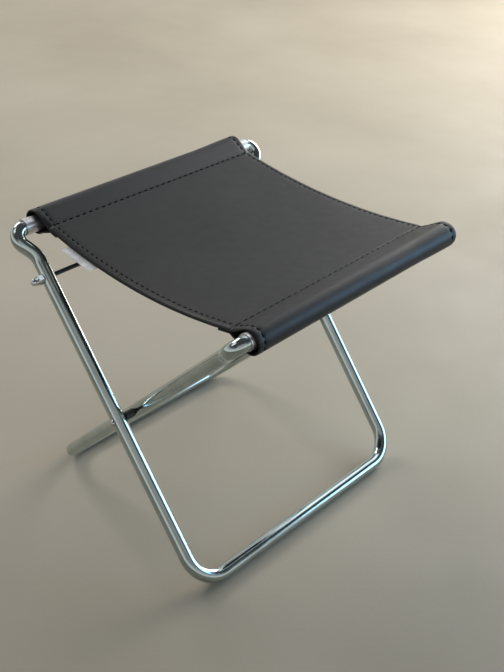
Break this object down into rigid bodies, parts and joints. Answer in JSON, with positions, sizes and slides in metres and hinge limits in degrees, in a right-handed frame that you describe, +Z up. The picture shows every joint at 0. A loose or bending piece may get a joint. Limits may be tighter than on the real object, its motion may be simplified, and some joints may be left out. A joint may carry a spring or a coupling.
{
  "type": "folding stool",
  "caption": "Backless folding stool with crossed bent-tube frames on riveted pivots, turning seat bars and a sagging leather sling that folds down between them.",
  "frame": {"origin": "floor level under the middle of the pivot axis, at the bottom centre of the bounding box", "axes": "+X along the bars, -Y to the front (the outer frame's floor bar), +Z up"},
  "size_m": [0.476, 0.412, 0.4256],
  "materials": {
    "chrome_tube": "polished chrome plate",
    "bar_steel": "bright zinc plate",
    "rivet_steel": "nickel plate",
    "nut_chrome": "polished chrome plate",
    "black_rod": "black satin coat",
    "black_spacer": "moulded, matt",
    "black_leather": "smooth, satin",
    "label_cloth": "woven satin, blank"
  },
  "bodies": {
    "outer_frame": {"outer_frame": "chrome_tube", "rear_hem": "black_leather", "tie_rod": "black_rod", "left_pivot_rivet": "rivet_steel", "left_pivot_spacer": "black_spacer", "left_rivet_washer": "rivet_steel", "left_cap_nut": "nut_chrome", "right_pivot_rivet": "rivet_steel", "right_pivot_spacer": "black_spacer", "right_rivet_washer": "rivet_steel", "right_cap_nut": "nut_chrome"},
    "inner_frame": {"inner_frame": "chrome_tube", "front_hem": "black_leather"},
    "rear_seat_bar": {"rear_seat_bar": "bar_steel"},
    "front_seat_bar": {"front_seat_bar": "bar_steel"},
    "rear_seat_panel": {"rear_seat_panel": "black_leather", "care_label": "label_cloth"},
    "front_seat_panel": {"front_seat_panel": "black_leather"}
  },
  "joints": [
    {"name": "fold", "type": "hinge", "parent": "outer_frame", "child": "inner_frame", "pos_m": [0, 0, 0.19935], "axis": [-1, 0, 0], "range_deg": [0, 68], "deforming": ["rear_seat_panel", "front_seat_panel", "care_label"]},
    {"name": "rear_seat_fold", "type": "hinge", "parent": "outer_frame", "child": "rear_seat_panel", "pos_m": [0, 0.16229, 0.41007], "axis": [1, 0, 0], "range_deg": [0, 47]},
    {"name": "front_seat_fold", "type": "hinge", "parent": "inner_frame", "child": "front_seat_panel", "pos_m": [0, -0.16229, 0.41007], "axis": [-1, 0, 0], "range_deg": [0, 47]},
    {"name": "rear_bar_turn", "type": "hinge", "parent": "outer_frame", "child": "rear_seat_bar", "pos_m": [0, 0.18929, 0.41107], "axis": [1, 0, 0], "continuous": true},
    {"name": "front_bar_turn", "type": "hinge", "parent": "inner_frame", "child": "front_seat_bar", "pos_m": [0, -0.18929, 0.41107], "axis": [1, 0, 0], "continuous": true}
  ],
  "couplings": [
    {"joint": "rear_seat_fold", "follows": "fold", "ratio": 0.685},
    {"joint": "front_seat_fold", "follows": "fold", "ratio": 0.685}
  ]
}
